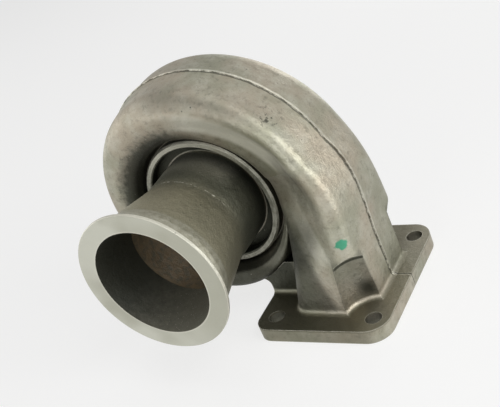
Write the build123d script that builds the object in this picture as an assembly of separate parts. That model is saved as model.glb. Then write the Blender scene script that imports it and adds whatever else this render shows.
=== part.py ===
from build123d import *
from math import cos, radians, sin, tan
import os

os.makedirs("parts", exist_ok=True)

# A cast turbine housing in millimetres. The origin is the middle of the foot flange's mounting face.
# +Z runs from that face into the casting, and the turbine axis lies along Y, left of the foot.
# The outlet opens towards -Y and the bearing housing fits on from +Y.

# Foot flange
bolt_spacing_x = 88.9
bolt_spacing_y = 104.8
bolt_hole_radius = 7.0
foot_left = 60.0
foot_right = 58.5
foot_length_y = bolt_spacing_y + 33.2
foot_thickness = 12.7
foot_left_corner = 13.0
foot_right_corner = 19.0
root_fillet = 4.5

# Nut clearance cut into the duct above each hole on its right side, with a cone for a roof
nut_clearance_radius = 24.5
nut_clearance_top = 57.0
nut_clearance_slope = 34.6
pocket_wall = 4.0

# Relief slit sawn through the flange's right edge
slit_width = 0.9
slit_y = 2.2
slit_depth = 14.5

# Walls, and the flash that stands on the parting line
wall = 6.0
divider = 5.0
divider_tip = 3.0
flash_height = 1.0
flash_width = 1.6
flash_root = 1.5

# Turbine wheel, whose radius sets the gas path and the hub round it
wheel_radius = 47.5
wheel_tip_half_width = 8.0
wheel_exit = 28.0
shroud_blend = 14.0
exducer_radius = wheel_radius - 6.2
exducer_blend = 3.0
divider_ring_radius = wheel_radius + 4.5

# Gas passages on both sides of the divider
passage_inner_radius = divider_ring_radius + 10.0
passage_end_half_width = 12.0
passage_corner = 2.0

# Hub with the collar ring round the outlet tube
hub_radius = passage_inner_radius
hub_rear = 14.0
groove_floor = 14.0
tube_radius = exducer_radius + 4.7
collar_inner_radius = tube_radius + 8.5
collar_outer_radius = collar_inner_radius + 6.5
collar_height = 24.0
collar_edge = 1.6

# Scroll: how far its parting line stands out from the wall of the hub's groove
groove_wall_radius = hub_radius + 5.0
scroll_start_radius = groove_wall_radius + 50.3
scroll_end_radius = groove_wall_radius + 7.0
throat_right = scroll_start_radius + 6.7

# Duct where it stands on the foot. Its right side leans in on the way up, and so sets the turbine axis.
duct_left_on_foot = -30.0
duct_right_on_foot = 42.0
duct_side_lean = 1.0
axis_x = duct_right_on_foot - duct_side_lean - throat_right
axis_z = 110.5
duct_front_at_foot = 51.0
duct_rear_at_foot = 49.0
duct_left_corner = 15.0
duct_right_corner = 9.0
duct_rear_corner = 10.0
rear_corner_bend = 3
duct_face_drop = 1.0
duct_face_dip = 0.4
port_corner = 5.0

# Duct where it meets the scroll, level with the turbine axis
throat_front = 47.0
throat_rear = 46.0
throat_left_corner = 10.0
throat_dip = 3.0

# Levels of the duct's sections, as shares of the axis height, and how soon its sides bend
duct_base = 0.05
port_base = -0.01
duct_levels = (0.35, 0.68, 1.0)
duct_left_bend = 0.6
shoulder_bend = 1.5
port_bend = 6

# Scroll: its turn, and the half widths in front of the parting line and behind it
scroll_start_angle = 20.0
scroll_end_angle = 350.0
scroll_section_count = 10
scroll_bend = 1.27
front_start = 46.0
front_end = 35.0
front_bend = 0.5
rear_start = 46.0
rear_end = 30.0
rear_bend = 0.8
end_taper = 10.0
end_taper_bend = 16

# Scroll section: a shoulder at the hub's groove, a shallow valley and a leaning crest
shoulder_start = 27.0
shoulder_end = 33.0
shoulder_radius = 11.0
crest_lean = 5.0
crest_radius_at_throat = 13.0
crest_radius = 25.0
rear_lean = 0.5
rear_corner = 19.0
rear_slope = 6.0
valley_at_throat = 0.62
valley_in_scroll = 0.3
scroll_dip = 0.3
dome_share = 0.25

# Outlet tube with the diffuser in it, and its clamp rim
outlet_face = 126.5
outlet_bore_radius = exducer_radius + 7.7
diffuser_start = 83.0
flare_start = 60.0
flare_end = 112.0
flare_radius = outlet_bore_radius + 7.5
flare_blend = 40.0
neck_blend = 6.0
rim_radius = flare_radius + 8.0
rim_land = 3.2
rim_slope = 20.0
rim_edge = 0.6
rim_root_blend = 2.0

# Bearing housing side
register_radius = wheel_radius + 6.5
register_floor = 12.0
neck_radius = register_radius + 8.0
neck_end = 52.0
neck_root_blend = 3.0
rear_rim_radius = neck_radius + 6.0
rear_rim_land = 5.0
rear_rim_cone = 4.0

# Web that ties the scroll's small end to the foot's left side
web_half_width = 22.0
web_top = 46.0
web_notch_height = 27.0
web_notch_rise = 2.0
web_notch_radius = 7.0
web_reach = 10.0

# How far a solid or a cut runs past the face that it joins or opens
overlap = 1.0

# Corners up to this size are cut flat, as on turned edges, and larger ones are round
largest_bevel = 2.0

# Where a turned surface has its seam, clear of the planes that quarter the housing
seam_angle = 11.0

axis_point = Vector(axis_x, 0, axis_z)
turbine_axis = Axis(axis_point, (0, 1, 0))


def blend(start, end, share):
    return start + (end - start) * share


def rounded_face(points, radii):
    """A flat face with straight sides. A corner is rounded or bevelled as far as its sides allow, or sharp at 0."""
    corners = [Vector(*point) for point in points]
    count = len(corners)
    ends = []
    for index, corner in enumerate(corners):
        radius = radii[index]
        if not radius:
            ends.append((corner, corner, corner))
            continue
        before = corners[index - 1] - corner
        after = corners[(index + 1) % count] - corner
        half_angle = radians(before.get_angle(after)) / 2
        before_share = radius / (radius + radii[index - 1])
        after_share = radius / (radius + radii[(index + 1) % count])
        room = 0.96 * min(before.length * before_share, after.length * after_share)
        reach = min(radius / tan(half_angle), room)
        inwards = (before.normalized() + after.normalized()).normalized()
        depth = reach * (1 - sin(half_angle)) / cos(half_angle)
        middle = corner + inwards * depth
        ends.append((corner + before.normalized() * reach, middle, corner + after.normalized() * reach))
    edges = []
    for index, (start, middle, end) in enumerate(ends):
        if radii[index] > largest_bevel:
            edges.append(ThreePointArc(start, middle, end))
        elif radii[index]:
            edges.append(Line(start, end))
        edges.append(Line(end, ends[(index + 1) % count][0]))
    return make_face(edges)


def scroll_plane(angle):
    """Section plane through the turbine axis: local x is the radius, local y is along the axis."""
    along = radians(angle)
    return Plane(axis_point, x_dir=(cos(along), 0, sin(along)), z_dir=(-sin(along), 0, cos(along)))


def duct_plane(height):
    """Level section plane of the duct: local x is the distance from the turbine axis."""
    return Plane((axis_x, 0, height), x_dir=(1, 0, 0), z_dir=(0, 0, 1))


def ring_outline(points, radii):
    """A ring or disc round the turbine axis from an outline of (radius, y) corners."""
    return revolve(scroll_plane(seam_angle) * rounded_face(points, radii), turbine_axis)


class Station:
    """One cross-section of the scroll or its duct, with what its outline needs."""

    def __init__(self, plane, left, right, front, rear):
        self.plane = plane
        self.left = left
        self.right = right
        self.front = front
        self.rear = rear
        self.lean = crest_lean
        self.opening = passage_inner_radius
        self.port_corner = 0
        self.closing = 0


def duct_station(share):
    """Share 0 is the foot's mounting face and share 1 is level with the turbine axis."""
    risen = max(0, share)
    station = Station(
        duct_plane(axis_z * share),
        blend(duct_left_on_foot - axis_x, groove_wall_radius, min(1, share / duct_left_bend)),
        blend(duct_right_on_foot - axis_x, throat_right, share),
        blend(duct_front_at_foot, throat_front, share),
        blend(duct_rear_at_foot, throat_rear, share),
    )
    station.shoulder = blend(duct_front_at_foot - duct_face_drop, shoulder_start, risen ** shoulder_bend)
    station.valley = valley_at_throat
    station.dip = blend(duct_face_dip, throat_dip, share)
    station.corner = blend(duct_left_corner, throat_left_corner, share)
    station.crest = blend(duct_right_corner, crest_radius_at_throat, share)
    station.rear_corner = blend(duct_rear_corner, rear_corner, risen ** rear_corner_bend)
    station.lean = crest_lean * share
    station.opening = blend(station.left + wall, passage_inner_radius, risen ** port_bend)
    station.port_corner = blend(port_corner, passage_corner / 3, risen)
    return station


def scroll_station(angle):
    share = (angle - scroll_start_angle) / (scroll_end_angle - scroll_start_angle)
    domed = min(1, share / dome_share)
    taper = end_taper * share ** end_taper_bend
    station = Station(
        scroll_plane(angle),
        groove_wall_radius,
        blend(scroll_start_radius, scroll_end_radius, share ** scroll_bend),
        blend(front_start, front_end, share ** front_bend) - taper,
        blend(rear_start, rear_end, share ** rear_bend),
    )
    station.shoulder = min(station.front - 2, blend(shoulder_start, shoulder_end, domed ** rear_bend))
    station.valley = blend(valley_at_throat, valley_in_scroll, domed)
    station.dip = blend(throat_dip, scroll_dip, domed)
    station.corner = shoulder_radius
    station.crest = blend(crest_radius_at_throat, crest_radius, domed)
    station.rear_corner = rear_corner
    station.closing = share ** 3
    return station


def duct_stations(base):
    levels = [duct_station(share) for share in (base, *duct_levels)]
    return levels + [scroll_station(scroll_start_angle)]


def scroll_stations(count):
    step = (scroll_end_angle - scroll_start_angle) / (scroll_section_count - 1)
    return [scroll_station(scroll_start_angle + step * index) for index in range(count)]


def flash_corners(s, root):
    """The parting line's flash from so deep in the wall: steep in front and fading out behind."""
    spread = 1 + root / flash_height
    return [
        (s.right - root, -spread * flash_width / 3),
        (s.right + flash_height, 0),
        (s.right - root, spread * flash_width),
    ]


def outer_outline(s, side):
    """The casting's outside, closed inside the hub, with the corners that its side has between front and rear."""
    crest = s.right - s.lean
    valley = blend(s.left, crest, s.valley)
    valley_front = blend(s.shoulder, s.front, s.valley) - s.dip
    inner = s.left - rear_slope
    points = [
        (inner, -groove_floor + 2 * overlap),
        (s.left, -s.shoulder),
        (valley, -valley_front),
        (crest, -s.front),
        *side,
        (s.right + rear_lean, s.rear),
        (inner, s.rear - rear_slope),
    ]
    radii = [0, s.corner, s.crest / 3, s.crest, *[0] * len(side), s.rear_corner, 0]
    return s.plane * rounded_face(points, radii)


def passage_outline(s, side):
    """One of the two gas passages: side -1 is in front of the divider and side 1 behind it."""
    half = s.front if side < 0 else s.rear
    shoulder = s.shoulder if side < 0 else s.rear - rear_slope
    outside = s.right - wall
    crest = outside - s.lean
    inner = min(s.left + wall, crest - passage_corner)
    half_end = passage_end_half_width
    points = [
        (s.opening, side * divider / 2),
        (s.opening, side * wheel_tip_half_width),
        (inner, side * blend(shoulder - wall, half_end - overlap, s.closing)),
        (crest, side * blend(half - wall, half_end, s.closing)),
        (outside, side * divider / 2),
    ]
    radii = [s.port_corner, 0, passage_corner, s.crest - wall / 2, passage_corner]
    return s.plane * rounded_face(points, radii)


def duct():
    return loft([outer_outline(s, [(s.right, 0)]) for s in duct_stations(duct_base)])


def duct_flash():
    stations = duct_stations(duct_base)
    return loft([s.plane * rounded_face(flash_corners(s, flash_root), [0] * 3) for s in stations])


def scroll():
    return loft([outer_outline(s, flash_corners(s, 0)) for s in scroll_stations(scroll_section_count)])


def passage(side):
    """A gas passage from its port in the foot to near the scroll's small end."""
    lower = loft([passage_outline(s, side) for s in duct_stations(port_base)])
    gas = lower + loft([passage_outline(s, side) for s in scroll_stations(scroll_section_count - 1)])
    reach = nut_clearance_radius + pocket_wall
    top = nut_clearance_top + pocket_wall / 2
    for kept_wall in over_right_bolts(coned_cylinder(reach, -overlap, top)):
        gas -= kept_wall
    return gas


def foot():
    length = foot_left + foot_right
    plate = Box(length, foot_length_y, foot_thickness, align=(Align.MIN, Align.CENTER, Align.MIN))
    plate = Pos(-foot_left, 0, 0) * plate
    right = plate.edges().filter_by(Axis.Z).sort_by(Axis.X)[2:]
    plate = fillet(right, foot_right_corner)
    left = plate.edges().filter_by(Axis.Z).sort_by(Axis.X)[:2]
    return fillet(left, foot_left_corner)


def bolt_places():
    return GridLocations(bolt_spacing_x, bolt_spacing_y, 2, 2).locations


def over_right_bolts(tool):
    return [place * tool for place in bolt_places() if place.position.X > 0]


def coned_cylinder(radius, bottom, top):
    """A cylinder on Z with a cone on it as steep as the nut clearance's roof."""
    peak = top + radius * tan(radians(nut_clearance_slope))
    outline = [(0, bottom), (radius, bottom), (radius, top), (0, peak)]
    return revolve(Plane.XZ * rounded_face(outline, [0] * 4), Axis.Z)


def web():
    tail = axis_x + web_reach
    inside_duct = duct_left_on_foot + web_reach
    inside_foot = foot_thickness - web_notch_rise
    outline = [
        (-foot_left, inside_foot),
        (-foot_left, web_notch_height),
        (tail, web_notch_height + web_notch_rise),
        (tail, web_top),
        (inside_duct, web_top),
        (inside_duct, inside_foot),
    ]
    face = Plane.XZ * rounded_face(outline, [0, web_notch_radius, 0, 0, 0, 0])
    return extrude(face, web_half_width, both=True)


def is_root(edge):
    """An edge where the duct or the web stands on the foot, but not the foot's own outline."""
    box = edge.bounding_box()
    on_top = box.size.Z < 0.01 and abs(box.min.Z - foot_thickness) < 0.01
    clear_of_ends = max(-box.min.Y, box.max.Y) < foot_length_y / 2 - overlap
    clear_of_left = box.size.X > overlap or box.min.X > -foot_left + overlap
    return on_top and clear_of_ends and clear_of_left and box.max.X < foot_right - overlap


def base():
    """The foot with the duct and the web, filleted where they stand on it."""
    standing = duct() + web()
    for tool in over_right_bolts(coned_cylinder(nut_clearance_radius, foot_thickness, nut_clearance_top)):
        standing -= tool
    whole = standing + foot()
    return fillet(whole.edges().filter_by(is_root), root_fillet)


def hub():
    """The disc inside the scroll with the collar ring on its front."""
    disc = ring_outline(
        [(0, -groove_floor), (hub_radius, -groove_floor), (hub_radius, hub_rear), (0, hub_rear)],
        [0] * 4,
    )
    root = -groove_floor + overlap
    collar = ring_outline(
        [
            (collar_inner_radius, root),
            (collar_inner_radius, -collar_height),
            (collar_outer_radius, -collar_height),
            (collar_outer_radius, root),
        ],
        [0, collar_edge, collar_edge, 0],
    )
    return disc + collar


def outlet_tube():
    root = -groove_floor + overlap
    rim_back = outlet_face - rim_land
    rim_root = rim_back - (rim_radius - flare_radius) * tan(radians(rim_slope))
    points = [
        (0, root),
        (tube_radius, root),
        (tube_radius, -flare_start),
        (flare_radius, -flare_end),
        (flare_radius, -rim_root),
        (rim_radius, -rim_back),
        (rim_radius, -outlet_face),
        (0, -outlet_face),
    ]
    return ring_outline(points, [0, 0, flare_blend, neck_blend, rim_root_blend, rim_edge, rim_edge, 0])


def bearing_neck():
    root = hub_rear - overlap
    rim_front = neck_end - rear_rim_land
    points = [
        (0, root),
        (neck_radius, root),
        (neck_radius, rim_front - rear_rim_cone),
        (rear_rim_radius, rim_front),
        (rear_rim_radius, neck_end),
        (0, neck_end),
    ]
    return ring_outline(points, [0, 0, neck_root_blend, rim_edge, rim_edge, 0])


def gas_bore():
    """Diffuser, turbine wheel contour and the register for the bearing housing."""
    widening = (outlet_bore_radius - exducer_radius) / (outlet_face - diffuser_start)
    points = [
        (0, -outlet_face - overlap),
        (outlet_bore_radius + widening * overlap, -outlet_face - overlap),
        (exducer_radius, -diffuser_start),
        (exducer_radius, -wheel_exit),
        (wheel_radius, -wheel_tip_half_width),
        (wheel_radius, register_floor),
        (register_radius, register_floor),
        (register_radius, neck_end + overlap),
        (0, neck_end + overlap),
    ]
    return ring_outline(points, [0, 0, exducer_blend, shroud_blend, 0, 0, 0, 0, 0])


def nozzle_slot(side):
    """The ring-shaped slot that leads one passage to the wheel, along the tapered divider."""
    inner = wheel_radius - overlap
    outer = passage_inner_radius + 2 * overlap
    points = [
        (inner, side * divider_tip / 2),
        (outer, side * divider / 2),
        (outer, side * wheel_tip_half_width),
        (inner, side * wheel_tip_half_width),
    ]
    return ring_outline(points, [0] * 4)


def divider_gap():
    """The wheel's running space inside the divider ring."""
    half = wheel_tip_half_width
    points = [(0, -half), (divider_ring_radius, -half), (divider_ring_radius, half), (0, half)]
    return ring_outline(points, [0] * 4)


def bolt_holes():
    tool = Cylinder(bolt_hole_radius, foot_thickness * 3)
    return [place * tool for place in bolt_places()]


def relief_slit():
    length = slit_depth + overlap
    tool = Box(length, slit_width, foot_thickness * 3, align=(Align.MAX, Align.CENTER, Align.CENTER))
    return Pos(foot_right + overlap, slit_y, 0) * tool


def turbine_housing():
    body = base() + duct_flash() + scroll() + hub() + bearing_neck() + outlet_tube()
    for side in (-1, 1):
        body -= passage(side)
        body -= nozzle_slot(side)
    body -= divider_gap()
    body -= gas_bore()
    for tool in bolt_holes():
        body -= tool
    return body - relief_slit()


export_step(turbine_housing(), "parts/turbine_housing.step")
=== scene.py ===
import math
from types import SimpleNamespace

import bpy
from mathutils import Matrix, Vector

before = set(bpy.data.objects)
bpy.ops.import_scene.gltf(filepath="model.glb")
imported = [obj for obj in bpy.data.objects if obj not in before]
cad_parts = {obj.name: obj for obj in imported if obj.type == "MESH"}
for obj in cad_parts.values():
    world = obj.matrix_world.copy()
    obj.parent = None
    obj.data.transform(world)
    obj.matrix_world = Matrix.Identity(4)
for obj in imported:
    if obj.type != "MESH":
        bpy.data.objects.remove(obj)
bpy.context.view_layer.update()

MM = 0.001

# The casting's sizes in millimetres: the turbine axis runs along Y, and the outlet opens towards -Y
AXIS_X = -83.0
AXIS_Z = 110.5
OUTLET = 126.5
DIFFUSER_START = 83.0
EXDUCER_RADIUS = 41.3
BORE_RADIUS = 49.0
NOZZLE_FRONT = 10.0
TUBE_RADIUS = 47.4
COLLAR_INSIDE = 55.5
COLLAR_OUTSIDE = 60.5
COLLAR_TOP = 22.5
HUB_RADIUS = 64.0
REAR_FACE = 52.0
REAR_RIM_RADIUS = 68.0
REGISTER_RADIUS = 54.0
REGISTER_FLOOR = 11.0
FOOT_TOP = 12.7
BOLT_X = 44.45
BOLT_Y = 52.4
BOLT_HOLE_RADIUS = 7.0
POCKET_RADIUS = 24.8
POCKET_ROOF = 55.2

# Marks on the casting, and the spot where the pockets' painted shade is deepest
PAINT_DAB = (34.0, -41.2, 77.6)
PAINT_DAB_RADIUS = 5.2
ROUGH_SPOT = (1.5, -22.0, 184.5)
ROUGH_SPOT_RADIUS = 15.0
POCKET_SHADE = (35.5, -30.5, 25.0)
POCKET_SHADE_RADIUS = 13.0
TUBE_LINE = 58.85

# The camera, fitted to the foot's holes and the outlet's rings
CAMERA_PLACE = Vector((415.3, -613.7, 520.3)) * MM
CAMERA_RIGHT = Vector((0.8411, 0.4119, -0.3505))
CAMERA_UP = Vector((0.0434, 0.5945, 0.8029))
CAMERA_LENS = 76.2
SENSOR_WIDTH = 36.0

# Soft lamps round the part: name, way round from +X and height in degrees, and watts
LAMPS = [
    ("right_low", 0, 12, 8.0),
    ("behind", 90, 12, 3.8),
    ("left", 180, 12, 2.1),
    ("front_left", 225, 12, 1.3),
    ("front", 270, 12, 3.9),
    ("right_high", 337, 45, 4.3),
    ("above", 0, 90, 1.8),
]
LAMP_AIM = Vector((-60, -20, 100)) * MM
LAMP_DISTANCE = 1.3
LAMP_SIZE = 0.8

WORLD_LIGHT = 0.1
WORLD_SEEN = 0.68
FLOOR_GLOW = 0.7
FLOOR_COLOUR = (0.32, 0.32, 0.315, 1.0)
FLOOR_SIZE = 24
FLOOR_DROP = 0.0005
WHITE = (1.0, 1.0, 1.0, 1.0)


def rgb(red, green, blue):
    """A colour as it shows on a screen, from 0 to 255, made linear."""
    def linear(value):
        share = value / 255
        return share / 12.92 if share <= 0.04045 else ((share + 0.055) / 1.055) ** 2.4
    return (linear(red), linear(green), linear(blue), 1.0)


GREEN_IRON = rgb(158, 157, 139)
PINK_IRON = rgb(173, 164, 147)
PALE_IRON = rgb(198, 196, 182)
DARK_IRON = rgb(98, 97, 86)
BRIGHT_IRON = rgb(226, 224, 210)
TURNED_IRON = rgb(203, 203, 190)
# Near black: painted shade in most places, and also the real dark of pits and a rough spot
DARK_SHADE_AND_PITS = rgb(38, 41, 33)
TUBE_ROOT = rgb(110, 111, 98)
TUBE_SKIN = rgb(158, 154, 134)
FOOT_SHADE = rgb(93, 90, 72)
FOOT_IRON = rgb(138, 134, 117)
DIFFUSER_IRON = rgb(132, 130, 116)
BORE_IRON = rgb(140, 122, 94)
PAINT = rgb(58, 168, 130)


def set_view():
    view = bpy.context.scene.view_settings
    view.view_transform = "Standard"


def add_camera():
    camera = bpy.data.cameras.new("camera")
    camera.lens = CAMERA_LENS
    camera.sensor_width = SENSOR_WIDTH
    camera.sensor_fit = "HORIZONTAL"
    camera.clip_start = 0.01
    camera.clip_end = 20
    holder = bpy.data.objects.new("camera", camera)
    bpy.context.scene.collection.objects.link(holder)
    right = CAMERA_RIGHT.normalized()
    back = right.cross(CAMERA_UP).normalized()
    up = back.cross(right)
    turned = Matrix((right, up, back)).transposed().to_4x4()
    holder.matrix_world = Matrix.Translation(CAMERA_PLACE) @ turned
    bpy.context.scene.camera = holder


def add_lights():
    for name, around, height, watts in LAMPS:
        turn, rise = math.radians(around), math.radians(height)
        way = Vector((math.cos(turn) * math.cos(rise), math.sin(turn) * math.cos(rise), math.sin(rise)))
        light = bpy.data.lights.new(name, "AREA")
        light.shape = "DISK"
        light.size = LAMP_SIZE
        light.energy = watts
        holder = bpy.data.objects.new(name, light)
        bpy.context.scene.collection.objects.link(holder)
        holder.location = LAMP_AIM + way * LAMP_DISTANCE
        holder.rotation_euler = (-way).to_track_quat("-Z", "Y").to_euler()


class Tree:
    """A node tree of a material or the world, with short calls for the nodes that it is made of."""

    def __init__(self, owner, output_kind="ShaderNodeOutputMaterial"):
        owner.use_nodes = True
        self.nodes = owner.node_tree.nodes
        self.links = owner.node_tree.links
        self.nodes.clear()
        self.output = self.nodes.new(output_kind)

    def node(self, kind, **settings):
        made = self.nodes.new(kind)
        for key, value in settings.items():
            setattr(made, key, value)
        return made

    def plug(self, source, target):
        """Links a node's output to a socket, or writes a plain value there."""
        if isinstance(source, bpy.types.NodeSocket):
            self.links.new(source, target)
        else:
            target.default_value = source

    def math(self, operation, *values, clamp=False):
        made = self.node("ShaderNodeMath", operation=operation, use_clamp=clamp)
        for value, socket in zip(values, made.inputs):
            self.plug(value, socket)
        return made.outputs[0]

    def vector(self, operation, first, second=(0.0, 0.0, 0.0)):
        made = self.node("ShaderNodeVectorMath", operation=operation)
        self.plug(first, made.inputs[0])
        self.plug(second, made.inputs[1])
        return made.outputs["Value" if operation in ("DISTANCE", "DOT_PRODUCT") else "Vector"]

    def parts(self, place):
        made = self.node("ShaderNodeSeparateXYZ")
        self.plug(place, made.inputs[0])
        return made.outputs

    def both(self, *masks):
        """The masks multiplied: 1 only where all of them are 1."""
        whole = masks[0]
        for mask in masks[1:]:
            whole = self.math("MULTIPLY", whole, mask)
        return whole

    def either(self, first, second):
        """The stronger of the masks: 1 where one of them is 1."""
        return self.math("MAXIMUM", first, second)

    def without(self, mask):
        return self.math("SUBTRACT", 1.0, mask)

    def above(self, value, limit):
        return self.math("GREATER_THAN", value, limit)

    def under(self, value, limit):
        return self.math("LESS_THAN", value, limit)

    def ramp(self, value, low, high, start=0.0, end=1.0):
        """Goes softly from start to end while value goes from low to high."""
        made = self.node("ShaderNodeMapRange", interpolation_type="SMOOTHSTEP")
        self.plug(value, made.inputs["Value"])
        made.inputs["From Min"].default_value = low
        made.inputs["From Max"].default_value = high
        made.inputs["To Min"].default_value = start
        made.inputs["To Max"].default_value = end
        return made.outputs[0]

    def fall(self, value, low, high):
        """1 up to low and 0 from high on."""
        return self.ramp(value, low, high, 1.0, 0.0)

    def band(self, value, low, high, fade):
        """1 where value lies between low and high, fading to 0 over fade on both sides."""
        return self.both(self.ramp(value, low - fade, low), self.fall(value, high, high + fade))

    def spot(self, place, middle, reach, fade):
        """1 round a point and 0 from reach outwards, fading over the last share of it."""
        return self.fall(self.vector("DISTANCE", place, middle), reach * (1 - fade), reach)

    def mix(self, share, first, second):
        made = self.node("ShaderNodeMix", data_type="RGBA")
        self.plug(share, made.inputs["Factor"])
        self.plug(first, made.inputs[6])
        self.plug(second, made.inputs[7])
        return made.outputs[2]

    def value_mix(self, share, first, second):
        made = self.node("ShaderNodeMix", data_type="FLOAT")
        self.plug(share, made.inputs["Factor"])
        self.plug(first, made.inputs[2])
        self.plug(second, made.inputs[3])
        return made.outputs[0]

    def cover(self, colour, layers):
        """Lays each layer's tone over the colour, as far as the product of its masks and share goes."""
        for tone, *masks in layers:
            colour = self.mix(self.both(*masks), colour, tone)
        return colour

    def noise(self, place, size, detail=3.0, roughness=0.55):
        """Grey noise whose blotches are about size across, in the same unit as place."""
        made = self.node("ShaderNodeTexNoise")
        self.plug(place, made.inputs["Vector"])
        made.inputs["Scale"].default_value = 1 / size
        made.inputs["Detail"].default_value = detail
        made.inputs["Roughness"].default_value = roughness
        return made.outputs["Fac"]

    def dots(self, place, spacing):
        """Small round dots scattered about spacing apart."""
        made = self.node("ShaderNodeTexVoronoi")
        self.plug(place, made.inputs["Vector"])
        made.inputs["Scale"].default_value = 1 / spacing
        return self.fall(made.outputs["Distance"], 0.05, 0.09)

    def shifted(self, place, value, size):
        """The place moved the same way along all three axes, by up to half of size."""
        made = self.node("ShaderNodeCombineXYZ")
        shift = self.math("MULTIPLY", self.math("SUBTRACT", value, 0.5), size)
        for socket in made.inputs:
            self.plug(shift, socket)
        return self.vector("ADD", place, made.outputs[0])

    def hollows(self, reach_mm):
        """1 in the open and 0 deep in a hollow."""
        made = self.node("ShaderNodeAmbientOcclusion", samples=8, only_local=True)
        made.inputs["Distance"].default_value = reach_mm * MM
        return made.outputs["AO"]

    def edges(self, radius_mm):
        """0 on flat ground and up to 1 along edges and corners."""
        made = self.node("ShaderNodeBevel", samples=4)
        made.inputs["Radius"].default_value = radius_mm * MM
        flat = self.node("ShaderNodeNewGeometry").outputs["Normal"]
        return self.fall(self.vector("DOT_PRODUCT", made.outputs["Normal"], flat), 0.85, 0.995)

    def bump(self, height, strength, distance_mm, before=None):
        made = self.node("ShaderNodeBump")
        made.inputs["Strength"].default_value = strength
        made.inputs["Distance"].default_value = distance_mm * MM
        self.plug(height, made.inputs["Height"])
        if before is not None:
            self.plug(before, made.inputs["Normal"])
        return made.outputs["Normal"]

    def seen(self):
        """1 for what the camera sees, also in a mirror or through glass, and 0 for light on its way."""
        rays = self.node("ShaderNodeLightPath").outputs
        mirrored = self.either(rays["Is Glossy Ray"], rays["Is Transmission Ray"])
        return self.either(rays["Is Camera Ray"], mirrored)


def find_texture(tree, place):
    """Noises of the cast skin, from broad patches down to grain, and its pits, specks, hollows and edges."""
    skin = SimpleNamespace()
    skin.broad = tree.noise(place, 60, 2)
    skin.patches = tree.noise(place, 17, 4, 0.6)
    skin.mottle = tree.noise(place, 5, 5, 0.65)
    skin.grain = tree.noise(place, 1.3, 4, 0.7)
    skin.uneven = tree.math("SUBTRACT", skin.mottle, 0.5)
    skin.pits = tree.both(tree.dots(place, 9), tree.ramp(skin.patches, 0.54, 0.62))
    elsewhere = tree.vector("ADD", place, (31, 7, 13))
    skin.specks = tree.both(tree.dots(elsewhere, 7), tree.ramp(skin.mottle, 0.5, 0.6))
    skin.hollow = tree.hollows(22)
    skin.edge = tree.both(tree.edges(1.4), tree.ramp(skin.mottle, 0.32, 0.6, 0.35, 1.0))
    return skin


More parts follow.
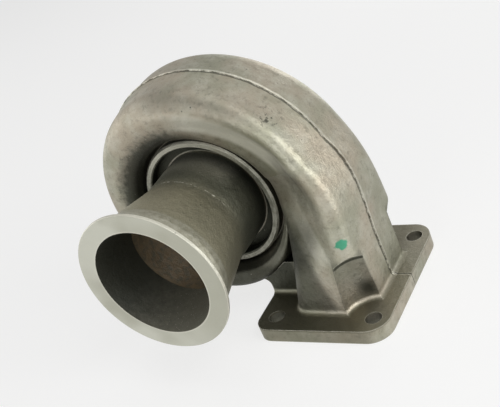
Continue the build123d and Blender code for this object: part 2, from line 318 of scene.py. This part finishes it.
def find_places(tree, place, skin):
    """Lengths in millimetres and masks from 0 to 1 that say where on the casting a point lies."""
    at = SimpleNamespace(place=place)
    at.x, at.y, at.z = tree.parts(place)
    at.out = tree.math("MULTIPLY", at.y, -1.0)
    at.radius = tree.vector("DISTANCE", tree.vector("MULTIPLY", place, (1, 0, 1)), (AXIS_X, 0, AXIS_Z))
    at.right = tree.math("DIVIDE", tree.math("SUBTRACT", at.x, AXIS_X), at.radius)
    at.up = tree.math("DIVIDE", tree.math("SUBTRACT", at.z, AXIS_Z), at.radius)

    # From the nearest bolt's axis, the same at all four corners of the foot
    corner = tree.vector("ABSOLUTE", tree.vector("MULTIPLY", place, (1, 1, 0)))
    at.from_bolt = tree.vector("DISTANCE", corner, (BOLT_X, BOLT_Y, 0))

    # Inside the outlet, where the diffuser widens from the bore
    widening = (BORE_RADIUS - EXDUCER_RADIUS) / (OUTLET - DIFFUSER_START)
    widened = tree.math("MAXIMUM", tree.math("SUBTRACT", at.out, DIFFUSER_START), 0.0)
    inner = tree.math("MULTIPLY_ADD", widened, widening, EXDUCER_RADIUS + 1.5)
    at.inside = tree.both(
        tree.under(at.radius, inner), tree.above(at.out, NOZZLE_FRONT), tree.under(at.out, OUTLET - 0.1))
    at.bore = tree.both(at.inside, tree.under(at.out, DIFFUSER_START + 0.5))

    # Turned faces: the outlet's ring, and the rear ring, the register and the foot's underside
    at.ring = tree.both(tree.above(at.out, OUTLET - 0.25), tree.above(at.radius, BORE_RADIUS - 2))
    rear = tree.both(
        tree.above(at.y, REAR_FACE - 0.2), tree.fall(at.radius, REAR_RIM_RADIUS, REAR_RIM_RADIUS + 1))
    register = tree.both(
        tree.fall(at.radius, REGISTER_RADIUS + 0.2, REGISTER_RADIUS + 0.4), tree.above(at.y, REGISTER_FLOOR))
    at.turned = tree.either(tree.either(rear, register), tree.fall(at.z, 0.1, 0.3))
    at.bare = tree.without(tree.either(at.ring, at.turned))

    # Everything else is cast: its front half, the tube, the gap in the collar, the flank's roll and the pockets
    at.cast = tree.both(tree.without(at.inside), at.bare)
    at.front = tree.both(at.cast, tree.ramp(at.out, 6, 12))
    at.tube = tree.both(at.cast, tree.fall(at.radius, COLLAR_OUTSIDE - 0.5, 63), tree.ramp(at.out, 13, 16))
    at.gap = tree.both(
        at.cast, tree.ramp(at.radius, TUBE_RADIUS - 1, TUBE_RADIUS),
        tree.fall(at.radius, COLLAR_INSIDE - 0.7, COLLAR_INSIDE - 0.1), tree.band(at.out, 12, COLLAR_TOP, 1))
    # Where the flank rolls off, which gets a painted highlight
    at.rolling = tree.math("ADD", at.radius, tree.math("MULTIPLY", at.up, 14.0))
    at.roll = tree.both(
        at.front, tree.band(at.rolling, 95, 104, 7),
        tree.ramp(at.right, -0.1, 0.3), tree.ramp(at.z, 134, 154))
    # The pockets, for painted shade with some dark scale, strongest round their deepest spot
    pocket = tree.both(
        tree.fall(at.from_bolt, POCKET_RADIUS, POCKET_RADIUS + 1.2),
        tree.ramp(at.z, 15, 18), tree.fall(at.z, 58, 66), tree.ramp(at.x, 15, 18), 0.4)
    deepest = tree.both(tree.spot(place, POCKET_SHADE, POCKET_SHADE_RADIUS, 0.9), 0.5)
    at.pocket = tree.math("ADD", pocket, deepest)

    # Where the parting line runs, with a wandering distance from it, and the dab of paint
    at.outside = tree.both(at.cast, tree.ramp(at.radius, 75, 80), tree.ramp(at.z, 12, 15))
    at.wander = tree.math("ADD", at.y, tree.math("MULTIPLY", skin.uneven, 2.2))
    at.dab = tree.spot(tree.shifted(place, skin.mottle, 4.0), PAINT_DAB, PAINT_DAB_RADIUS, 0.25)
    return at


def skin_colour(tree, skin):
    return tree.cover(tree.mix(tree.ramp(skin.broad, 0.4, 0.62), GREEN_IRON, PINK_IRON), [
        (PALE_IRON, tree.ramp(skin.patches, 0.35, 0.75, 0.0, 0.5)),
        (DARK_IRON, tree.ramp(skin.mottle, 0.5, 0.75, 0.0, 0.45)),
        (DARK_IRON, tree.ramp(skin.grain, 0.56, 0.75, 0.0, 0.45)),
    ])


def tube_colour(tree, at, skin):
    """Darker towards the root, with painted shade on the right and painted light on top of the root."""
    wavy = tree.math("ADD", at.out, tree.math("MULTIPLY", skin.mottle, 14.0))
    return tree.cover(tree.mix(tree.ramp(wavy, 54, 80), TUBE_ROOT, TUBE_SKIN), [
        (DARK_SHADE_AND_PITS, tree.ramp(at.right, 0.25, 0.85), tree.fall(at.out, 90, 112), 0.25),
        (TUBE_ROOT, tree.ramp(at.out, 102, 109, 0.0, 0.4)),
        (PALE_IRON, tree.fall(at.out, 30, 48), tree.ramp(at.up, 0.5, 0.8), 0.5),
        (DARK_IRON, tree.ramp(skin.grain, 0.5, 0.75, 0.0, 0.5)),
    ])


def shade_and_highlight_layers(tree, at, skin):
    """Painted shade in the groove, the collar's gap, on the web, round the duct and under the scroll, painted
    highlights on the duct's edge and where the flank rolls off, and darker rims round the holes.
    """
    low = tree.math("SUBTRACT", at.radius, tree.math("MULTIPLY", skin.uneven, 10.0))
    flank = tree.both(
        at.front, tree.ramp(at.radius, HUB_RADIUS - 3, HUB_RADIUS),
        tree.ramp(at.z, 40, 62), tree.ramp(at.right, -0.25, 0.5, 1.0, 0.1))
    under = tree.both(
        at.front, tree.fall(at.z, 84, 108), tree.ramp(at.z, 44, 62),
        tree.ramp(at.radius, HUB_RADIUS, HUB_RADIUS + 2), tree.fall(at.radius, 92, 108))

    # Painted shade on the web, and on the duct's front left of a line that leans to the left upwards
    web = tree.both(at.front, tree.fall(at.x, -34, -22), tree.fall(at.z, 46, 62), tree.ramp(at.z, 13.5, 18))
    leaning = tree.math("ADD", at.x, tree.math("MULTIPLY", at.z, 0.3))
    duct = tree.both(
        at.cast, tree.ramp(at.out, 32, 38), tree.ramp(at.radius, 60, HUB_RADIUS), tree.fall(leaning, 14, 24),
        tree.fall(at.z, 90, 112), tree.ramp(at.z, 13, 19), tree.without(web))
    duct_edge = tree.both(
        at.cast, tree.ramp(at.out, 30, 36), tree.band(leaning, 27, 37, 4),
        tree.ramp(at.z, 55, 70), tree.fall(at.z, 112, 135))

    # Painted shade in strips below and outside the roll's painted highlight
    strip = tree.both(
        at.front, tree.band(at.radius, 91, 96.5, 4),
        tree.ramp(at.right, 0.83, 0.91), tree.ramp(at.up, -0.12, 0.03))
    beyond = tree.both(
        at.front, tree.band(at.rolling, 112, 120, 5),
        tree.ramp(at.up, 0.6, 0.85), tree.ramp(at.right, -0.3, 0.0))
    hole = tree.both(
        tree.fall(at.from_bolt, BOLT_HOLE_RADIUS, BOLT_HOLE_RADIUS + 0.6),
        tree.fall(at.z, FOOT_TOP + 0.2, FOOT_TOP + 0.8))
    return [
        # Painted shade on the flank towards the groove, in hollows, in the collar's gap, on the web and on the
        # duct
        (DARK_SHADE_AND_PITS, flank, tree.ramp(low, 71.5, 85, 0.9, 0.0)),
        (DARK_SHADE_AND_PITS, at.cast, tree.ramp(skin.hollow, 0.15, 0.6, 0.45, 0.0)),
        (DARK_SHADE_AND_PITS, at.gap, 0.92),
        (DARK_SHADE_AND_PITS, web, 0.85),
        (DARK_SHADE_AND_PITS, duct, 0.68),
        # Painted highlight along the duct's edge
        (BRIGHT_IRON, duct_edge, 0.45),
        # Painted shade under the scroll
        (DARK_SHADE_AND_PITS, under, 0.55),
        # Painted highlight where the flank rolls off, and painted shade in strips beside it
        (BRIGHT_IRON, at.roll, 0.85),
        (DARK_SHADE_AND_PITS, strip, 0.25),
        (DARK_IRON, beyond, 0.4),
        # Darker rims round the holes, and painted shade with some dark scale in the pockets
        (DARK_SHADE_AND_PITS, hole, 0.55),
        (DARK_SHADE_AND_PITS, at.pocket),
    ]


def foot_shade_layers(tree, at, skin):
    """Painted shade: dark on top in front and to the left, paler to the right, and darker on the front side."""
    top = tree.both(tree.fall(at.z, FOOT_TOP + 0.5, FOOT_TOP + 2.5), tree.ramp(at.z, 10.5, 12))
    tone = tree.mix(tree.ramp(at.x, 30, 52), FOOT_SHADE, FOOT_IRON)
    tone = tree.mix(tree.ramp(skin.grain, 0.5, 0.7, 0.0, 0.4), tone, DARK_IRON)
    front_side = tree.both(tree.fall(at.z, 11.5, 12.5), tree.ramp(at.out, 60, 66), tree.fall(at.x, 40, 52))
    return [(tone, top, 0.85), (FOOT_SHADE, front_side, 0.55)]


def wear_and_highlight_layers(tree, at, skin):
    """Worn bright edges, a paler collar, a painted highlight on the rim, and the skin's pits and specks."""
    open_ground = tree.without(tree.math("MULTIPLY", at.pocket, 2.0, clamp=True))
    worn = tree.both(
        at.cast, skin.edge, tree.without(at.gap), open_ground, tree.ramp(skin.hollow, 0.2, 0.6, 0.15, 0.7))
    collar = tree.both(
        at.cast, tree.band(at.radius, COLLAR_INSIDE, COLLAR_OUTSIDE, 0.6), tree.ramp(at.out, 20, 23))
    rim = tree.both(at.cast, tree.ramp(at.radius, 62.6, 64), tree.ramp(at.out, 119, 122))
    return [
        (BRIGHT_IRON, worn),
        (PALE_IRON, collar, tree.ramp(skin.mottle, 0.35, 0.65, 0.2, 0.5)),
        # Painted highlight on the rim's outer edge
        (BRIGHT_IRON, rim, 0.8),
        (DARK_SHADE_AND_PITS, at.cast, skin.pits, 0.75),
        (BRIGHT_IRON, at.cast, skin.specks, 0.5),
    ]


def seam_layers(tree, at):
    """The parting line, with painted shade in front of a painted highlight on its ridge that is stronger to the
    right, and the rear half a little darker.
    """
    ridge_highlight_share = tree.ramp(at.right, 0.0, 0.6, 0.6, 0.45)
    return [
        (DARK_SHADE_AND_PITS, at.outside, tree.band(at.wander, -1.4, -0.6, 0.5), 0.65),
        (BRIGHT_IRON, at.outside, tree.band(at.wander, 0.3, 2.4, 0.9), ridge_highlight_share),
        (DARK_IRON, at.cast, tree.ramp(at.y, 1, 4), 0.14),
    ]


def mark_layers(tree, at, skin):
    """A dab of paint, a rough spot on the side, a line across the tube, and painted shade with some dark scale
    along the pockets' roofs.
    """
    rough_spot = tree.both(
        tree.spot(at.place, ROUGH_SPOT, ROUGH_SPOT_RADIUS, 0.7),
        tree.ramp(tree.noise(at.place, 4.2), 0.56, 0.64))
    wavy = tree.math("ADD", at.out, tree.math("MULTIPLY", skin.mottle, 3.0))
    line = tree.both(
        at.tube, tree.band(wavy, TUBE_LINE - 0.15, TUBE_LINE + 0.15, 0.5), tree.ramp(at.z, 128, 136))
    roof = tree.both(
        at.cast, tree.band(at.from_bolt, POCKET_RADIUS - 0.5, POCKET_RADIUS, 0.9),
        tree.band(at.z, POCKET_ROOF - 0.8, POCKET_ROOF + 0.8, 0.7), tree.ramp(at.x, 19, 22))
    return [
        (PAINT, at.dab, 0.9),
        (DARK_SHADE_AND_PITS, rough_spot, 0.75),
        (BRIGHT_IRON, line, tree.ramp(tree.noise(at.place, 3.2), 0.45, 0.6), 0.8),
        # Painted shade with some dark scale under the pockets' roofs
        (DARK_SHADE_AND_PITS, roof, 0.8),
    ]


def machined_layers(tree, at, skin):
    """A rough diffuser with painted shade towards the top and left and painted glints, a brownish bore, and the
    turned faces with painted shade on the ring's right.
    """
    height = tree.math("DIVIDE", tree.math("SUBTRACT", at.z, AXIS_Z), 90.0)
    lit = tree.math("SUBTRACT", tree.both(at.right, 0.7), height)
    share = tree.ramp(tree.math("ADD", lit, tree.both(skin.mottle, 0.7)), -0.1, 1.2, 0.12, 1.0)
    glints = tree.both(tree.ramp(tree.noise(at.place, 1.2, 2), 0.64, 0.7), tree.ramp(lit, -0.1, 0.6), 0.7)
    diffuser = tree.mix(glints, tree.mix(share, DARK_SHADE_AND_PITS, DIFFUSER_IRON), PALE_IRON)
    bore = tree.mix(tree.ramp(skin.mottle, 0.4, 0.65, 0.0, 0.6), BORE_IRON, DARK_IRON)
    ring = tree.cover(TURNED_IRON, [
        (GREEN_IRON, tree.ramp(skin.broad, 0.45, 0.7, 0.0, 0.55)),
        # Painted shade on the ring's right side
        (GREEN_IRON, tree.ramp(at.right, 0.1, 0.8, 0.0, 0.5)),
        (BRIGHT_IRON, tree.fall(at.radius, BORE_RADIUS + 0.4, BORE_RADIUS + 1.4), 0.5),
    ])
    turned = tree.mix(tree.ramp(skin.patches, 0.4, 0.7, 0.0, 0.6), TURNED_IRON, GREEN_IRON)
    return [(diffuser, at.inside), (bore, at.bore), (ring, at.ring), (turned, at.turned)]


def casting_material():
    material = bpy.data.materials.new("shot_blasted_iron")
    tree = Tree(material)
    metres = tree.node("ShaderNodeTexCoord").outputs["Object"]
    place = tree.vector("MULTIPLY", metres, (1 / MM, 1 / MM, 1 / MM))
    skin = find_texture(tree, place)
    at = find_places(tree, place, skin)

    colour = tree.mix(at.tube, skin_colour(tree, skin), tube_colour(tree, at, skin))
    layers = shade_and_highlight_layers(tree, at, skin) + foot_shade_layers(tree, at, skin) + wear_and_highlight_layers(tree, at, skin)
    layers += seam_layers(tree, at) + mark_layers(tree, at, skin) + machined_layers(tree, at, skin)
    colour = tree.cover(colour, layers)

    rough = tree.ramp(skin.grain, 0.2, 0.8, 0.42, 0.54)
    smoother = tree.ramp(skin.grain, 0.2, 0.8, 0.36, 0.44)
    rough = tree.value_mix(tree.either(at.ring, at.turned), rough, smoother)
    rough = tree.value_mix(at.dab, rough, 0.55)
    metal = tree.value_mix(at.ring, tree.value_mix(at.inside, 0.92, 0.3), 0.9)
    # Less metallic at the paint and under the roll's painted highlight
    metal = tree.both(metal, tree.ramp(at.dab, 0, 1, 1.0, 0.1), tree.ramp(at.roll, 0, 1, 1.0, 0.6))

    # Lumps, the skin's unevenness, the parting line's ridge and grain
    relief = tree.bump(tree.noise(place, 9), 0.5, 1.3)
    relief = tree.bump(tree.both(skin.mottle, at.bare), 0.5, 0.8, relief)
    relief = tree.bump(tree.both(at.outside, tree.band(at.wander, 0.2, 1.4, 1.2)), 0.8, 1.0, relief)
    relief = tree.bump(tree.both(skin.grain, at.bare), 0.6, 0.35, relief)

    shader = tree.node("ShaderNodeBsdfPrincipled")
    tree.plug(colour, shader.inputs["Base Color"])
    tree.plug(metal, shader.inputs["Metallic"])
    tree.plug(rough, shader.inputs["Roughness"])
    tree.plug(relief, shader.inputs["Normal"])
    tree.plug(shader.outputs["BSDF"], tree.output.inputs["Surface"])
    return material


def floor_material():
    """Pale and plain: near white where it is seen, apart from the object's shadow."""
    material = bpy.data.materials.new("floor")
    tree = Tree(material)
    diffuse = tree.node("ShaderNodeBsdfDiffuse")
    diffuse.inputs["Color"].default_value = FLOOR_COLOUR
    glow = tree.node("ShaderNodeEmission")
    glow.inputs["Color"].default_value = WHITE
    tree.plug(tree.math("MULTIPLY", tree.seen(), FLOOR_GLOW), glow.inputs["Strength"])
    together = tree.node("ShaderNodeAddShader")
    tree.plug(diffuse.outputs[0], together.inputs[0])
    tree.plug(glow.outputs[0], together.inputs[1])
    tree.plug(together.outputs[0], tree.output.inputs["Surface"])
    return material


def add_floor():
    bpy.ops.mesh.primitive_plane_add(size=FLOOR_SIZE, location=(0, 0, -FLOOR_DROP))
    floor = bpy.context.object
    floor.name = "floor"
    floor.data.materials.append(floor_material())


def set_world():
    """Pale grey where it is seen, and dimmer as a light."""
    world = bpy.data.worlds.new("studio")
    bpy.context.scene.world = world
    tree = Tree(world, "ShaderNodeOutputWorld")
    background = tree.node("ShaderNodeBackground")
    background.inputs["Color"].default_value = WHITE
    strength = tree.ramp(tree.seen(), 0, 1, WORLD_LIGHT, WORLD_SEEN)
    tree.plug(strength, background.inputs["Strength"])
    tree.plug(background.outputs[0], tree.output.inputs["Surface"])


set_view()
add_camera()
add_lights()
set_world()
add_floor()

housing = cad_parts["turbine_housing"]
housing.data.materials.clear()
housing.data.materials.append(casting_material())
